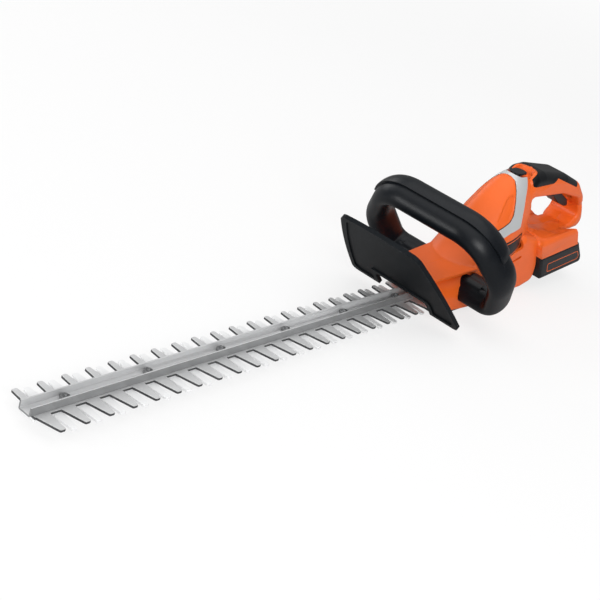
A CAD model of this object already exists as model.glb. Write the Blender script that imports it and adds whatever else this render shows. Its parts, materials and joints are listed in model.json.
# %% [markdown]
# # A cordless hedge trimmer
# The tool has a long double-sided blade, a black hand guard, a loop handle for the front hand, an orange
# motor housing and a rear grip with a slide-on battery. Every moving piece is already a solid in the
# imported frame, so this lesson loads that frame first and then works on what the eye sees: finishes, soft
# shading, moulded details, light and camera. All lengths are in metres, and the frame's axes are kept as
# they are.

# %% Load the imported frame
import json
import math

import bmesh
import bpy
import numpy as np
from mathutils import Matrix, Vector

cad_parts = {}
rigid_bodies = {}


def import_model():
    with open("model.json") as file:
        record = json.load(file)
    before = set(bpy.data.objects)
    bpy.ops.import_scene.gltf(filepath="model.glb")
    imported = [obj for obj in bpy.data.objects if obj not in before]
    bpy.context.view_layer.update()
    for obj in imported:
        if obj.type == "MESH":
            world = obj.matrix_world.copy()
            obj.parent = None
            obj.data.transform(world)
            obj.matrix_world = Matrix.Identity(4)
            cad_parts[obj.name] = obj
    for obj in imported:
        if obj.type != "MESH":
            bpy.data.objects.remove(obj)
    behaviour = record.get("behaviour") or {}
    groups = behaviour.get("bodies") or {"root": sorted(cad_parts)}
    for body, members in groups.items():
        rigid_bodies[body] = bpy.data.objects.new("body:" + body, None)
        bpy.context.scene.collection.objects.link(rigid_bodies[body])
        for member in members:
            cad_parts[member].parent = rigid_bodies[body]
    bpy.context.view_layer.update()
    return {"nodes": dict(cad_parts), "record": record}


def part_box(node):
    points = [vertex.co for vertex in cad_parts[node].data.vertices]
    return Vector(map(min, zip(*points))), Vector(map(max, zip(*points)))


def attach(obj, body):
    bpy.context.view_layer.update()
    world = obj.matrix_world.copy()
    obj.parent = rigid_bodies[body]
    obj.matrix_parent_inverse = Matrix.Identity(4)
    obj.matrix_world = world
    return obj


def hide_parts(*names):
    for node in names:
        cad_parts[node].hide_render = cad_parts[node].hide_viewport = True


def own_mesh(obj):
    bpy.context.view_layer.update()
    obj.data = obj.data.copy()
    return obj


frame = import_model()
MM = 0.001
shown = bpy.context.scene.collection.objects

# %% [markdown]
# ## Finishes
# A moulded or ground surface never has one flat colour. A picture could carry the changes, but it would
# need unwrapping and would blur close up. Each finish here is a small node tree on Object coordinates
# instead: a broad noise shifts the colour a little, a second one at the scale of the real grain changes
# the roughness, and the same grain goes into a bump. One function builds them all, so that a finish is a
# short list of numbers which can be compared with its neighbours.

# %% One builder for every finish
cloud_scale = 35.0
cloud_detail = 3.0
grain_detail = 2.0
tint_ends = (0.3, 0.7)
smoothest = 0.02
relief_depth = 0.06 * MM


def noise(tree, vector, scale, detail):
    """The value of a noise texture that is read at the given vector."""
    texture = tree.nodes.new("ShaderNodeTexNoise")
    texture.inputs["Scale"].default_value = scale
    texture.inputs["Detail"].default_value = detail
    tree.links.new(vector, texture.inputs["Vector"])
    return texture.outputs["Fac"]


def finish_material(name, colour, rough, metal=0.0, grain=2500.0, bump=0.05, stretch=(1, 1, 1), vary=0.06,
                    spread=0.08, specular=0.5):
    """A principled finish: colour and roughness swing with noise, and the grain also drives a bump."""
    material = bpy.data.materials.new(name)
    material.use_nodes = True
    tree = material.node_tree
    nodes, links = tree.nodes, tree.links
    shader = nodes["Principled BSDF"]
    shader.inputs["Metallic"].default_value = metal
    shader.inputs["Specular IOR Level"].default_value = specular
    place = nodes.new("ShaderNodeTexCoord")
    mapping = nodes.new("ShaderNodeMapping")
    mapping.inputs["Scale"].default_value = stretch
    links.new(place.outputs["Object"], mapping.inputs["Vector"])
    clouds = noise(tree, mapping.outputs["Vector"], cloud_scale, cloud_detail)
    fine = noise(tree, mapping.outputs["Vector"], grain, grain_detail)

    tint = nodes.new("ShaderNodeValToRGB")
    dark, light = tint.color_ramp.elements
    dark.position, light.position = tint_ends
    dark.color = (*[part * (1 - vary) for part in colour], 1)
    light.color = (*[min(1, part * (1 + vary)) for part in colour], 1)
    links.new(clouds, tint.inputs["Fac"])
    links.new(tint.outputs["Color"], shader.inputs["Base Color"])

    gloss = nodes.new("ShaderNodeMapRange")
    gloss.inputs["To Min"].default_value = max(smoothest, rough - spread)
    gloss.inputs["To Max"].default_value = min(1.0, rough + spread)
    links.new(fine, gloss.inputs["Value"])
    links.new(gloss.outputs["Result"], shader.inputs["Roughness"])
    relief = nodes.new("ShaderNodeBump")
    relief.inputs["Strength"].default_value = bump
    relief.inputs["Distance"].default_value = relief_depth
    links.new(fine, relief.inputs["Height"])
    links.new(relief.outputs["Normal"], shader.inputs["Normal"])
    return material


print("grain stands out by", relief_depth / MM, "mm at most")

# %% [markdown]
# ## Plastics and rubber
# The photograph shows satin orange housing plastic, blue-black plastic on the loop handle, a duller black
# on the guard, a softer rubber on the rear grip, a silver inlay and a dark grey battery. Black plastic
# looks grey as soon as it mirrors a bright studio. Making its colour darker hardly helps then, so the
# blacks have a low specular level, and the guard, which is seen at a slant, has the lowest.

# %% Make the plastics
finishes = {
    "orange": finish_material(
        "orange_plastic", (0.86, 0.135, 0.016), 0.36, grain=3200, bump=0.05, vary=0.03, specular=0.36
    ),
    "black": finish_material(
        "black_plastic", (0.0048, 0.0064, 0.0090), 0.36, grain=2400, bump=0.16, vary=0.15, spread=0.06,
        specular=0.28
    ),
    "matt_black": finish_material(
        "guard_plastic", (0.0062, 0.0080, 0.0100), 0.46, grain=2000, bump=0.2, vary=0.20, specular=0.10
    ),
    "rubber": finish_material(
        "soft_rubber", (0.0046, 0.0056, 0.0074), 0.42, grain=1600, bump=0.22, vary=0.12, specular=0.22
    ),
    "silver": finish_material(
        "silver_plastic", (0.60, 0.62, 0.63), 0.36, metal=0.25, grain=4000, bump=0.03, vary=0.03
    ),
    "battery_grey": finish_material(
        "battery_plastic", (0.012, 0.013, 0.015), 0.44, grain=2400, bump=0.16, vary=0.10, specular=0.25
    ),
    "battery_panel": finish_material(
        "battery_panel_plastic", (0.008, 0.009, 0.011), 0.34, grain=3000, bump=0.05, specular=0.25
    ),
    "cell_wrap": finish_material("cell_sleeve", (0.03, 0.10, 0.24), 0.30, grain=800, bump=0.02),
    "gap": finish_material("shadow_gap", (0.012, 0.006, 0.004), 0.7, grain=1500, bump=0.05),
}
print(len(finishes), "plastics")

# %% [markdown]
# ## Metals
# The blades are ground, their edges are sheared and darker, and the channel that carries them is rolled
# sheet with streaks. Streaks could be drawn one by one. Here they are the same noise, pulled out in X by
# a small scale there, because grinding and rolling marks run along the blade. Screws and plates are zinc,
# gears are plain steel, and bush, contacts and magnets keep their own colours.

# %% Make the metals
finishes.update({
    "steel": finish_material(
        "ground_steel", (0.72, 0.725, 0.73), 0.46, metal=0.5, grain=900, bump=0.08, stretch=(0.06, 1, 1),
        vary=0.10, spread=0.08
    ),
    "bright_steel": finish_material(
        "bright_steel", (0.90, 0.905, 0.91), 0.40, metal=0.15, grain=900, bump=0.06, stretch=(0.06, 1, 1),
        vary=0.05, spread=0.08
    ),
    "sheared": finish_material(
        "sheared_edge", (0.11, 0.112, 0.115), 0.5, metal=0.8, grain=1200, bump=0.15, stretch=(1, 1, 0.2),
        vary=0.20
    ),
    "rolled": finish_material(
        "rolled_steel", (0.80, 0.805, 0.815), 0.40, metal=0.45, grain=700, bump=0.12, stretch=(0.04, 1, 1),
        vary=0.24, spread=0.12
    ),
    "scale": finish_material(
        "rolled_scale", (0.36, 0.365, 0.37), 0.44, metal=0.5, grain=600, bump=0.12, stretch=(0.05, 1, 1),
        vary=0.30, spread=0.12
    ),
    "zinc": finish_material("zinc_plate", (0.26, 0.265, 0.27), 0.34, metal=0.8, grain=1500, bump=0.06),
    "gear_steel": finish_material("gear_steel", (0.34, 0.34, 0.35), 0.36, metal=1.0, grain=1500, bump=0.05),
    "bronze": finish_material("sintered_bronze", (0.40, 0.24, 0.08), 0.46, metal=1.0, grain=2200, bump=0.12),
    "brass": finish_material("contact_brass", (0.72, 0.48, 0.18), 0.28, metal=1.0, grain=1500, bump=0.04),
    "magnet": finish_material("ferrite", (0.05, 0.05, 0.055), 0.6, grain=1800, bump=0.12),
})
print(len(finishes), "finishes with the metals")

# %% [markdown]
# ## Pieces, bodies and meshes
# Each node of the frame belongs to a body, which moves it, and to a material slot. A few pieces get
# another finish than their slot's, and two have darker edges. The helpers below read a mesh into one
# table of points, join the loose triangles that the frame's solids arrive as, and tell the separate parts
# of a mesh from each other. Edit Mode has tools for each of these, but a script repeats them without a
# slip.

# %% Tables of pieces
slot_of = {piece["node"]: piece["material_slot"] for piece in frame["record"]["subparts"]}
body_of = {node: body for body, nodes in frame["record"]["behaviour"]["bodies"].items() for node in nodes}
special_finish = {"blade_channel": "rolled", "lower_blade": "bright_steel", "guard": "matt_black"}
edge_finish = {"upper_blade": "sheared", "blade_channel": "scale"}
blade_ease = 0.35 * MM
eased_edges = {
    "upper_blade": blade_ease, "lower_blade": blade_ease, "guard": 0.5 * MM, "base_cover": 0.4 * MM
}

# %% Helpers for meshes
same_place = 1e-6
flat_angle = math.radians(0.5)


def vertex_places(mesh):
    """The place of every vertex, one row each."""
    places = np.empty(len(mesh.vertices) * 3)
    mesh.vertices.foreach_get("co", places)
    return places.reshape(-1, 3)


def merged_copy(node):
    """A joined copy of a solid's mesh, with flat faces made whole where its edges will be eased."""
    mesh = frame["nodes"][node].data.copy()
    work = bmesh.new()
    work.from_mesh(mesh)
    bmesh.ops.remove_doubles(work, verts=work.verts, dist=same_place)
    if node in eased_edges:
        bmesh.ops.dissolve_limit(work, angle_limit=flat_angle, verts=work.verts, edges=work.edges)
    work.to_mesh(mesh)
    work.free()
    return mesh


print("points closer than", same_place / MM, "mm are joined")

# %% Tell the screws apart


def loose_parts(mesh):
    """One number per vertex, the same all over a part: each edge passes on the lower of its two numbers."""
    edges = np.empty(len(mesh.edges) * 2, int)
    mesh.edges.foreach_get("vertices", edges)
    edges = edges.reshape(-1, 2)
    label = np.arange(len(mesh.vertices))
    while True:
        low = label[edges].min(axis=1)
        spread = label.copy()
        np.minimum.at(spread, edges[:, 0], low)
        np.minimum.at(spread, edges[:, 1], low)
        if (spread == label).all():
            return label
        label = spread


def separate_parts(node):
    """The points of each separate part of a node."""
    mesh = merged_copy(node)
    places, label = vertex_places(mesh), loose_parts(mesh)
    bpy.data.meshes.remove(mesh)
    return [places[label == part] for part in np.unique(label)]


housing_screws = separate_parts("housing_screws")
screw_places = np.array([(points.min(axis=0) + points.max(axis=0)) / 2 for points in housing_screws])
screw_places = np.round(screw_places[:, [0, 2]] / MM, 1) * MM
print("housing screws in the side view, mm:", (screw_places / MM).round(1).tolist())

# %% [markdown]
# ## Smooth skins over the solids
# Loose triangles would show every facet on the dome and the loop. A remesh could round them off, but it
# would also blunt the edges. So each solid gets a skin: its joined copy, shaded smooth up to a crease
# angle, with normals that lean on the larger faces, so that flat sides stay flat. Round the screw holes
# of the right half, long thin triangles would then draw lines, so normals stay plain there. The gaps
# between the blades' teeth are cut a little deeper on the way. The solid itself stays in the frame for
# motion and collision.

# %% Changes on the way from solid to skin
upright = 0.6
rim_reach = 8 * MM
gap_floor = 10.8 * MM
deeper_floor = 7.2 * MM
floor_margin = 0.05 * MM


def deepen_gaps(mesh):
    """Cuts the gaps between teeth further in: vertices on the solid's gap floor move to the deeper one."""
    places = vertex_places(mesh)
    on_floor = np.abs(np.abs(places[:, 1]) - gap_floor) < floor_margin
    places[on_floor, 1] = np.sign(places[on_floor, 1]) * deeper_floor
    mesh.vertices.foreach_set("co", places.ravel())
    mesh.update()


def outer_walls(mesh):
    """True for each face that stands upright and faces away from the blade's centre line."""
    normals = np.empty(len(mesh.polygons) * 3)
    centres = np.empty(len(mesh.polygons) * 3)
    mesh.polygons.foreach_get("normal", normals)
    mesh.polygons.foreach_get("center", centres)
    normals, centres = normals.reshape(-1, 3), centres.reshape(-1, 3)
    return (np.abs(normals[:, 2]) < upright) & (normals[:, 1] * centres[:, 1] >= 0)


def near_screws(mesh):
    """Numbers of the vertices that lie within rim_reach of a housing screw's axis, seen from the side."""
    across = vertex_places(mesh)[:, None, [0, 2]] - screw_places[None]
    return np.flatnonzero(np.linalg.norm(across, axis=2).min(axis=1) < rim_reach)


print("gaps are cut", round((gap_floor - deeper_floor) / MM, 1), "mm deeper")

# %% Dress a node
crease = math.radians(32)
eased_steps = 2


def dress(node, mesh):
    """A smooth-shaded piece that has its node's finish, rides on its body and stands for it."""
    mesh.polygons.foreach_set("use_smooth", np.ones(len(mesh.polygons), bool))
    mesh.set_sharp_from_angle(angle=crease)
    mesh.materials.clear()
    mesh.materials.append(finishes[special_finish.get(node, slot_of[node])])
    if node in edge_finish:
        mesh.materials.append(finishes[edge_finish[node]])
        mesh.polygons.foreach_set("material_index", outer_walls(mesh).astype(np.int32))
    piece = bpy.data.objects.new(node + "_skin", mesh)
    shown.link(piece)
    if node in eased_edges:
        ease = piece.modifiers.new("eased_edges", "BEVEL")
        ease.width = eased_edges[node]
        ease.segments = eased_steps
        ease.limit_method = "ANGLE"
        ease.angle_limit = crease
    even = piece.modifiers.new("even_normals", "WEIGHTED_NORMAL")
    even.mode = "FACE_AREA_WITH_ANGLE"
    even.keep_sharp = True
    if node == "housing_right":
        rims = piece.vertex_groups.new(name="screw_rims")
        rims.add(near_screws(mesh).tolist(), 1.0, "REPLACE")
        even.vertex_group = rims.name
        even.invert_vertex_group = True
    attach(piece, body_of[node])
    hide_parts(node)
    return piece


def skin(node):
    """A node's own shape as a dressed piece, with deeper gaps where it is a blade."""
    mesh = merged_copy(node)
    if node.endswith("_blade"):
        deepen_gaps(mesh)
    return dress(node, mesh)


print("creases start at", round(math.degrees(crease)), "degrees")

# %% Dress all but the screws and springs
to_the_side = (0, 0, 0)
# Each node and the way in which its heads face
screw_nodes = {
    "guard_screws": (-1, 0, 0),
    "bail_screws": to_the_side,
    "housing_screws": (0, 1, 0),
    "base_screws": (0, 0, -1),
}
dock_turn = math.radians(4.5)
along_dock = (math.cos(dock_turn), 0, math.sin(dock_turn))
# Each node with its joint, its axis away from the fixed end, its wire, its turns and its taper
spring_nodes = {
    "trigger_spring": ("trigger_squeeze", (0, 0, -1), 0.7 * MM, 6, 0),
    "lock_off_spring": ("lock_off_press", (0, 0, 1), 0.25 * MM, 2.5, 0.55 * MM),
    "release_spring": ("release_press", along_dock, 0.25 * MM, 4, 0),
}
skins = {node: skin(node) for node in slot_of if node not in screw_nodes and node not in spring_nodes}
print(len(skins), "skins")

# %% [markdown]
# ## Grids that become surfaces
# Small details are easier to work out than to model by hand: a table of points with two counting
# directions is a surface, and neighbours in the table are its faces. A second helper lays such a table on
# a piece that is already there, by sending each point straight along one axis until it meets that piece.
# A Shrinkwrap modifier does the sending, and the points are read back from it.

# %% Helpers for grids


def grid_faces(rows, columns, closed_columns):
    """Corner numbers of every quad in a table of points, joining the last column to the first if asked."""
    row = np.arange(rows - 1)[:, None]
    column = np.arange(columns if closed_columns else columns - 1)[None, :]
    next_column = (column + 1) % columns
    corners = [row * columns + column, row * columns + next_column,
               (row + 1) * columns + next_column, (row + 1) * columns + column]
    return np.stack([corner.ravel() for corner in np.broadcast_arrays(*corners)], axis=1)


def surface(name, grid, finish, body, closed_columns=False, flip=False):
    """A smooth-shaded piece from a table of points, riding on a body."""
    faces = grid_faces(*grid.shape[:2], closed_columns)
    faces = faces[:, ::-1] if flip else faces
    mesh = bpy.data.meshes.new(name)
    mesh.from_pydata(grid.reshape(-1, 3), [], faces.tolist())
    mesh.polygons.foreach_set("use_smooth", np.ones(len(mesh.polygons), bool))
    mesh.materials.append(finish)
    piece = bpy.data.objects.new(name, mesh)
    shown.link(piece)
    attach(piece, body)
    return piece


def laid_on(target, grid, side):
    """The same table with each point sent along Y, from the left or the right, until it meets the target."""
    mesh = bpy.data.meshes.new("laying")
    mesh.from_pydata(grid.reshape(-1, 3), [], grid_faces(*grid.shape[:2], False).tolist())
    carrier = bpy.data.objects.new("laying", mesh)
    shown.link(carrier)
    wrap = carrier.modifiers.new("wrap", "SHRINKWRAP")
    wrap.target = target
    wrap.wrap_method = "PROJECT"
    wrap.use_project_y = True
    wrap.use_positive_direction = side < 0
    wrap.use_negative_direction = side > 0
    bpy.context.view_layer.update()
    laid = carrier.evaluated_get(bpy.context.evaluated_depsgraph_get()).data
    places = vertex_places(laid).reshape(grid.shape)
    bpy.data.objects.remove(carrier)
    bpy.data.meshes.remove(mesh)
    return places


print("a table of 3 by 4 points has", len(grid_faces(3, 4, False)), "faces")

# %% [markdown]
# ## Lines on the mouldings
# The dark plate on the left side has a thin orange frame, the battery's side panels have the same, and
# the silver inlay is parted from the housing by a dark gap. They could be painted on, but a line of real
# geometry stays sharp from close by and goes along into the exported meshes. Each one is a narrow
# half-round ribbon that follows an outline in the side view and is laid on its piece.

# %% Helpers for lines
bend_points = 9
ribbon_points = 7
outside = 80 * MM
line_sink = 0.06 * MM


def inset(corners, distance):
    """A polygon drawn in: corners move along the middle of their angles, so each side shifts by distance."""
    ahead = np.roll(corners, -1, axis=0) - corners
    ahead /= np.linalg.norm(ahead, axis=1, keepdims=True)
    behind = np.roll(ahead, 1, axis=0)
    turn = behind[:, 0] * ahead[:, 1] - behind[:, 1] * ahead[:, 0]
    return corners + distance * np.sign(turn.sum()) * (ahead - behind) / np.abs(turn)[:, None]


def rounded_path(corners, radius, closed, step):
    """Points at equal steps along a path whose corners are parabolas that start radius from each corner."""
    before = np.roll(corners, 1, axis=0)
    after = np.roll(corners, -1, axis=0)
    toward_before = (before - corners) / np.linalg.norm(before - corners, axis=1, keepdims=True)
    toward_after = (after - corners) / np.linalg.norm(after - corners, axis=1, keepdims=True)
    start = (corners + radius * toward_before)[:, None]
    end = (corners + radius * toward_after)[:, None]
    t = np.linspace(0, 1, bend_points)[None, :, None]
    bends = (1 - t) ** 2 * start + 2 * t * (1 - t) * corners[:, None] + t ** 2 * end
    if closed:
        points = bends.reshape(-1, 2)
        points = np.vstack([points, points[:1]])
    else:
        points = np.vstack([corners[:1], bends[1:-1].reshape(-1, 2), corners[-1:]])
    along = np.concatenate([[0], np.cumsum(np.linalg.norm(np.diff(points, axis=0), axis=1))])
    even = np.linspace(0, along[-1], int(along[-1] / step) + 1)
    return np.stack([np.interp(even, along, points[:, k]) for k in (0, 1)], axis=1)


def line_on(name, path, width, rise, target, side, finish, body):
    """A half-round line laid on a piece: the ribbon follows the path, and its middle stands proud."""
    tangent = np.gradient(path, axis=0)
    tangent /= np.linalg.norm(tangent, axis=1, keepdims=True)
    normal = np.stack([-tangent[:, 1], tangent[:, 0]], axis=1)
    across = np.linspace(-1, 1, ribbon_points)
    flat = path[:, None, :] + 0.5 * width * across[None, :, None] * normal[:, None, :]
    grid = np.stack([flat[..., 0], np.full(flat.shape[:2], side * outside), flat[..., 1]], axis=-1)
    grid = laid_on(target, grid, side)
    grid[..., 1] += side * ((rise + line_sink) * np.sqrt(1 - across ** 2)[None, :] - line_sink)
    return surface(name, grid, finish, body, flip=side > 0)


sides = (("left", -1), ("right", 1))
print("lines start", outside / MM, "mm out and sink in by", line_sink / MM, "mm at their edges")

# %% Frame of the plate
plate_corners = np.array([(35, 64.4), (52, 48), (82, 54.5), (76, 71)]) * MM
plate_inside = inset(plate_corners, distance=2.0 * MM)
plate_path = rounded_path(plate_inside, radius=2.5 * MM, closed=True, step=0.6 * MM)
plate_frame = line_on(
    "plate_frame", plate_path, width=0.9 * MM, rise=0.22 * MM, target=skins["name_plate"], side=-1,
    finish=finishes["orange"], body="body",
)
print(plate_frame.name, len(plate_path), "points round")

# %% Frames of the battery's panels
dock_place = np.array((122, 38.5)) * MM
dock_axes = np.array([(along_dock[0], along_dock[2]), (-along_dock[2], along_dock[0])])
panel_corners = np.array([(17, -9), (23, -23), (89, -23), (90.5, -18), (83, -9)]) * MM
panel_inside = inset(panel_corners, distance=1.8 * MM)
panel_path = rounded_path(panel_inside, radius=2.0 * MM, closed=True, step=0.8 * MM)
panel_path = panel_path @ dock_axes + dock_place
for label, side in sides:
    panel_frame = line_on(
        "panel_frame_" + label, panel_path, width=0.8 * MM, rise=0.2 * MM,
        target=skins["battery_side_panels"], side=side,
        finish=finishes["orange"], body="battery",
    )
    print(panel_frame.name, len(panel_path), "points round")

# %% Gaps beside the silver inlay
gap_corners = np.array([(58.2, 119), (54.2, 106), (50.2, 91), (45.7, 85.2), (28.6, 74.8)]) * MM
gap_path = rounded_path(gap_corners, radius=2.5 * MM, closed=False, step=0.8 * MM)
for label, side in sides:
    stripe_gap = line_on(
        "stripe_gap_" + label, gap_path, width=0.9 * MM, rise=0.12 * MM,
        target=skins["housing_" + label], side=side,
        finish=finishes["gap"], body="body",
    )
    print(stripe_gap.name, len(gap_path), "points long")

# %% [markdown]
# ## Cross-head screws
# The solids give each screw as a plain peg with a round head. A Boolean could cut the cross, but it
# leaves ragged faces on so small a head. Here the same peg is a profile turned about its axis, and the
# top of the head is lowered by two crossing grooves that get shallower away from the middle, as a pressed
# cross recess does. Each screw's place and size are read off its solid, one separate part at a time.

# %% Work out one screw
head_rings = 20
turned_sides = 72
dome_share = 0.18
groove_share = 0.13
cross_share = 0.72
cross_depth = 0.5
point_length = 0.6
point_width = 0.4
shank_share = 0.2
head_share = 0.9
slant = (0.3, 0.5, 0.8)


def screw_grid(points, axis):
    """A turned screw: radius and level run along the profile, and a cross is pressed into the dome."""
    height = points @ axis
    middle = (points.min(axis=0) + points.max(axis=0)) / 2
    middle = middle - axis * (middle @ axis)
    away = np.linalg.norm(points - middle - height[:, None] * axis, axis=1)
    top, tip = height.max(), height.min()
    head = away.max()
    shank = away[height < tip + shank_share * (top - tip)].max()
    seat = height[away > head_share * head].min()
    run = np.linspace(0, 1, head_rings)
    dome = dome_share * head
    point = tip + shank * point_length
    radius = np.concatenate([head * run, [head, head, shank, shank, shank * point_width, 0]])
    level = np.concatenate([top - dome * run ** 2, [top - dome, seat, seat, point, tip, tip]])
    angle = np.linspace(0, 2 * math.pi, turned_sides, endpoint=False)
    x = radius[:, None] * np.cos(angle)
    y = radius[:, None] * np.sin(angle)
    arm = np.minimum(np.abs(x), np.abs(y)) / (groove_share * head)
    reach = np.clip(1 - (x ** 2 + y ** 2) ** 0.5 / (cross_share * head), 0, 1)
    recess = cross_depth * head * np.exp(-arm ** 4) * np.sqrt(reach)
    recess[head_rings:] = 0
    first = np.cross(axis, slant)
    first /= np.linalg.norm(first)
    second = np.cross(axis, first)
    tall = (level[:, None] - recess)[..., None] * axis
    return middle + x[..., None] * first + y[..., None] * second + tall


print("a screw has", turned_sides, "sides")

# %% Turn the screws


def close_seams(mesh):
    """Joins the points that fall together, such as a pole's, and turns every face outwards."""
    work = bmesh.new()
    work.from_mesh(mesh)
    bmesh.ops.remove_doubles(work, verts=work.verts, dist=same_place)
    bmesh.ops.recalc_face_normals(work, faces=work.faces)
    work.to_mesh(mesh)
    work.free()


def screws(node, axis):
    """All the screws of one node, their heads along the axis or, for to_the_side, away from the middle."""
    grids = []
    for points in separate_parts(node):
        outward = (0, np.sign(points[:, 1].mean()), 0) if axis == to_the_side else axis
        grids.append(screw_grid(points, np.array(outward, float)))
    rows, columns = grids[0].shape[:2]
    faces = grid_faces(rows, columns, True)
    mesh = bpy.data.meshes.new(node + "_turned")
    mesh.from_pydata(
        np.concatenate([grid.reshape(-1, 3) for grid in grids]), [],
        np.concatenate([faces + i * rows * columns for i in range(len(grids))]).tolist(),
    )
    close_seams(mesh)
    return dress(node, mesh)


for node, axis in screw_nodes.items():
    skins[node] = screws(node, axis)
    print(node, len(skins[node].data.polygons), "faces")

# %% [markdown]
# ## The post of the rear screw
# The last housing screw sits so far back in the grip loop that part of it would stand out of the wall. A
# moulding swells there to keep its screw covered. The swelling could be a scaled ball, but that is too
# pointed at its ends. A superellipsoid is an ellipsoid whose power is above two, so its sides stay full and
# its ends turn in softly where they meet the wall.

# %% Mould the post
post_rings = 41
post_sides = 48
post_power = 2.6


def post_grid(middle, half_sizes, power):
    """A superellipsoid along Y: width to the power and height to the power add up to one."""
    height = np.sin(np.linspace(-math.pi / 2, math.pi / 2, post_rings))[:, None]
    width = (1 - np.abs(height) ** power) ** (1 / power)
    angle = np.linspace(0, 2 * math.pi, post_sides, endpoint=False)[None, :]
    unit = np.stack([width * np.cos(angle), height + 0 * angle, width * np.sin(angle)], axis=-1)
    return middle + unit * half_sizes


rear_x, rear_z = screw_places[screw_places[:, 0].argmax()]
post_middle = np.array((rear_x, 0.9 * MM, rear_z))
post_half_sizes = np.array((4.2, 13.0, 7.5)) * MM
post = surface(
    "screw_post", post_grid(post_middle, post_half_sizes, post_power), finishes["orange"], "body",
    closed_columns=True, flip=True,
)
close_seams(post.data)
print(post.name, "round the screw at", (post_middle / MM).round(1), "mm")

# %% [markdown]
# ## Wound springs
# Behind the trigger, the lock-off button and the battery's release sits a small compression spring. In
# the frame each is a plain sleeve. Blender's Screw modifier could wind a wire, but a formula for the
# helix also gives the cone that the lock-off's spring needs: there is hardly any room under that button,
# so its turns have to sink into each other.

# %% Work out one spring
steps_per_turn = 28
wire_sides = 10


def spring_grid(foot, axis, length, radii, wire, turns):
    """A round wire along a helix that climbs from foot by length, from the first radius to the last."""
    share = np.linspace(0, 1, int(turns * steps_per_turn) + 1)[:, None]
    angle = 2 * math.pi * turns * share
    first = np.cross(axis, (0, 1, 0))
    first /= np.linalg.norm(first)
    second = np.cross(axis, first)
    outward = np.cos(angle) * first + np.sin(angle) * second
    radius = radii[0] + share * (radii[1] - radii[0])
    path = foot + (wire / 2 + share * (length - wire)) * axis + radius * outward
    around = np.linspace(0, 2 * math.pi, wire_sides, endpoint=False)[None, :, None]
    tube = path[:, None] + wire / 2 * (np.cos(around) * outward[:, None] + np.sin(around) * axis)
    start = np.broadcast_to(path[:1, None], tube[:1].shape)
    end = np.broadcast_to(path[-1:, None], tube[:1].shape)
    return np.concatenate([start, tube, end])


print("a spring has", steps_per_turn, "steps a turn")

# %% Wind the springs
end_gap = 0.1 * MM


def wound_spring(node, axis, wire, turns, taper):
    """A wound spring in its sleeve's place: its foot is at the fixed end, and squash shortens the rest."""
    low, high = [np.array(corner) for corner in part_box(node)]
    axis = np.array(axis, float)
    wide, deep, tall = high - low
    lean, stand = np.abs(axis[[0, 2]])
    length = (wide * lean - tall * stand) / (lean ** 2 - stand ** 2) - 2 * end_gap
    middle = (low + high) / 2
    foot = middle - axis * length / 2
    outer = (deep - wire) / 2
    grid = spring_grid(foot, axis, length, (outer, outer - taper), wire, turns)
    piece = surface(
        node + "_coil", grid, finishes["zinc"], body_of[node], closed_columns=True
    )
    close_seams(piece.data)
    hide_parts(node)
    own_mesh(piece)
    return piece


for node, (joint, axis, wire, turns, taper) in spring_nodes.items():
    skins[node] = wound_spring(node, axis, wire, turns, taper)

# %% [markdown]
# ## Camera
# A camera can be matched by eye, but a long blade shows every small mistake. This one was solved from the
# blade: equally spaced teeth and bolts on two known lines fix its place, turn and lens. It looks along
# the blade from ahead and to the left, with the picture turned a little, as if the tool had been tilted
# on the table.

# %% Place the camera
camera_azimuth = math.radians(-57.501)
camera_elevation = math.radians(25.251)
camera_roll = math.radians(18.105)
camera_place = Vector((-1.0223, -0.5081, 0.4870))
picture_width = 600
focal_pixels = 1289.365
sensor_width = 36
farthest_seen = 50

back = Vector((
    math.sin(camera_azimuth) * math.cos(camera_elevation),
    -math.cos(camera_azimuth) * math.cos(camera_elevation),
    math.sin(camera_elevation),
))
level = Vector((math.cos(camera_azimuth), math.sin(camera_azimuth), 0))
rise = back.cross(level)
right = level * math.cos(camera_roll) + rise * math.sin(camera_roll)
up = rise * math.cos(camera_roll) - level * math.sin(camera_roll)
camera_data = bpy.data.cameras.new("camera")
camera_data.sensor_width = sensor_width
camera_data.lens = sensor_width * focal_pixels / picture_width
camera_data.clip_end = farthest_seen
camera = bpy.data.objects.new("camera", camera_data)
camera.matrix_world = Matrix((
    (right.x, up.x, back.x, camera_place.x),
    (right.y, up.y, back.y, camera_place.y),
    (right.z, up.z, back.z, camera_place.z),
    (0, 0, 0, 1),
))
shown.link(camera)
bpy.context.scene.camera = camera
print("lens", round(camera_data.lens, 1), "mm")

# %% [markdown]
# ## Floor
# The picture is a studio cut-out on white. Stronger lamps could burn the floor out, but they would bleach
# the tool too. So most of what the camera sees of the floor is a plain glow, and the rest is a pale
# surface that takes the shadow. Further out the glow takes over, so that low views have no grey horizon.
# In reflections the floor glows much less, because the black mouldings would turn grey above a white
# mirror image.

# %% Lay the floor
floor_size = 12.0
floor_drop = 0.6 * MM
floor_grey = 0.86
floor_rough = 0.9
glow_share = 0.75
mirrored_floor = 0.30
fade_start, fade_end = 0.9, 2.4

half = floor_size / 2
floor_mesh = bpy.data.meshes.new("floor")
floor_corners = [(-half, -half, 0), (half, -half, 0), (half, half, 0), (-half, half, 0)]
floor_mesh.from_pydata(floor_corners, [], [(0, 1, 2, 3)])
floor = bpy.data.objects.new("floor", floor_mesh)
floor.location.z = -floor_drop
shown.link(floor)
print("floor", floor_size, "m wide")

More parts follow.
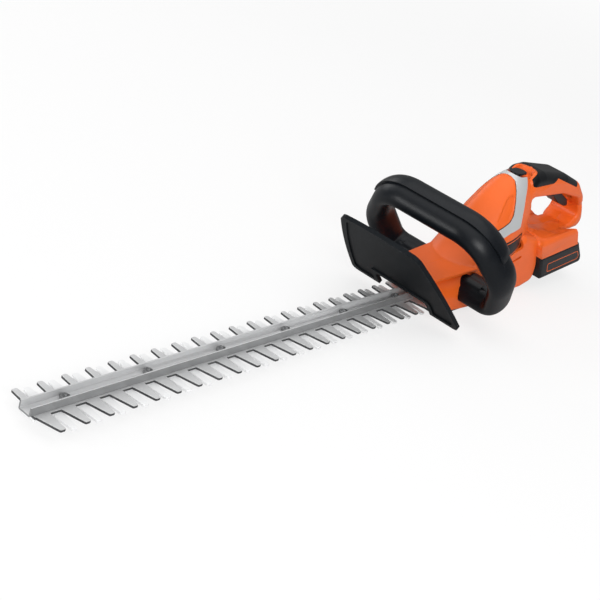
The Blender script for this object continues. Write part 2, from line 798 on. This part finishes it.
# %% Give the floor its glow
floor_material = bpy.data.materials.new("pale_floor")
floor_material.use_nodes = True
nodes, links = floor_material.node_tree.nodes, floor_material.node_tree.links
pale = nodes["Principled BSDF"]
pale.inputs["Base Color"].default_value = (floor_grey, floor_grey, floor_grey, 1)
pale.inputs["Roughness"].default_value = floor_rough
glow = nodes.new("ShaderNodeEmission")
glow.inputs["Color"].default_value = (1, 1, 1, 1)
rays = nodes.new("ShaderNodeLightPath")
shine = nodes.new("ShaderNodeMapRange")
shine.inputs["To Min"].default_value = mirrored_floor
shine.inputs["To Max"].default_value = 1.0
links.new(rays.outputs["Is Camera Ray"], shine.inputs["Value"])
links.new(shine.outputs["Result"], glow.inputs["Strength"])

place = nodes.new("ShaderNodeTexCoord")
distance = nodes.new("ShaderNodeVectorMath")
distance.operation = "LENGTH"
links.new(place.outputs["Object"], distance.inputs[0])
share = nodes.new("ShaderNodeMapRange")
share.inputs["From Min"].default_value = fade_start
share.inputs["From Max"].default_value = fade_end
share.inputs["To Min"].default_value = glow_share
share.inputs["To Max"].default_value = 1.0
links.new(distance.outputs["Value"], share.inputs["Value"])
either = nodes.new("ShaderNodeMath")
either.operation = "ADD"
links.new(rays.outputs["Is Camera Ray"], either.inputs[0])
links.new(rays.outputs["Is Glossy Ray"], either.inputs[1])
glowing = nodes.new("ShaderNodeMath")
glowing.operation = "MULTIPLY"
links.new(either.outputs["Value"], glowing.inputs[0])
links.new(share.outputs["Result"], glowing.inputs[1])
mix = nodes.new("ShaderNodeMixShader")
links.new(glowing.outputs["Value"], mix.inputs["Fac"])
links.new(pale.outputs["BSDF"], mix.inputs[1])
links.new(glow.outputs["Emission"], mix.inputs[2])
links.new(mix.outputs["Shader"], nodes["Material Output"].inputs["Surface"])
floor_mesh.materials.append(floor_material)
print("floor glows by", glow_share, "near the tool")

# %% [markdown]
# ## World and lamps
# The world is white for the camera alone. To plain surfaces it is a dim even light, and to shiny ones a
# dark room that brightens towards one upper corner, which gives steel and black plastic a soft change
# from end to end. Four soft lamps do the rest: a wide one from above, a fill from the left, a weak rim
# from behind and one from ahead.

# %% Build the world
even_light = 0.42
darkest_mirror, brightest_mirror = 0.06, 0.32
mirror_start, mirror_end = -0.1, 0.9
bright_corner = Vector((0.55, 0.40, 0.75)).normalized()

world = bpy.data.worlds.new("studio")
bpy.context.scene.world = world
world.use_nodes = True
nodes, links = world.node_tree.nodes, world.node_tree.links
background = nodes["Background"]
background.inputs["Color"].default_value = (1, 1, 1, 1)
rays = nodes.new("ShaderNodeLightPath")
direction = nodes.new("ShaderNodeTexCoord")
facing = nodes.new("ShaderNodeVectorMath")
facing.operation = "DOT_PRODUCT"
facing.inputs[1].default_value = bright_corner
links.new(direction.outputs["Generated"], facing.inputs[0])
backdrop = nodes.new("ShaderNodeMapRange")
backdrop.inputs["From Min"].default_value = mirror_start
backdrop.inputs["From Max"].default_value = mirror_end
backdrop.inputs["To Min"].default_value = darkest_mirror
backdrop.inputs["To Max"].default_value = brightest_mirror
links.new(facing.outputs["Value"], backdrop.inputs["Value"])
lit = nodes.new("ShaderNodeMix")
lit.inputs["A"].default_value = even_light
links.new(rays.outputs["Is Glossy Ray"], lit.inputs["Factor"])
links.new(backdrop.outputs["Result"], lit.inputs["B"])
white = nodes.new("ShaderNodeMix")
white.inputs["B"].default_value = 1.0
links.new(rays.outputs["Is Camera Ray"], white.inputs["Factor"])
links.new(lit.outputs["Result"], white.inputs["A"])
links.new(white.outputs["Result"], background.inputs["Strength"])
print("world lights by", even_light)

# %% Hang the lamps
# Each lamp's place, the point that it faces, its size in metres and its power in watts
lamps = {
    "top_softbox": ((-0.3, 0.1, 2.0), (-0.1, 0, 0.05), 3.0, 28),
    "left_fill": ((-1.3, -1.5, 0.9), (0, 0, 0.06), 0.8, 20),
    "far_rim": ((0.3, 1.8, 0.8), (0.05, 0, 0.08), 1.0, 5),
    "front_softbox": ((-1.6, 0.9, 0.5), (0, 0, 0.08), 0.7, 9),
}
for name, (place, target, size, power) in lamps.items():
    lamp_data = bpy.data.lights.new(name, "AREA")
    lamp_data.size = size
    lamp_data.energy = power
    lamp = bpy.data.objects.new(name, lamp_data)
    lamp.location = place
    lamp.rotation_euler = (Vector(place) - Vector(target)).to_track_quat("Z", "Y").to_euler()
    shown.link(lamp)
    print(name, power, "W")
bpy.context.scene.view_settings.view_transform = "Standard"
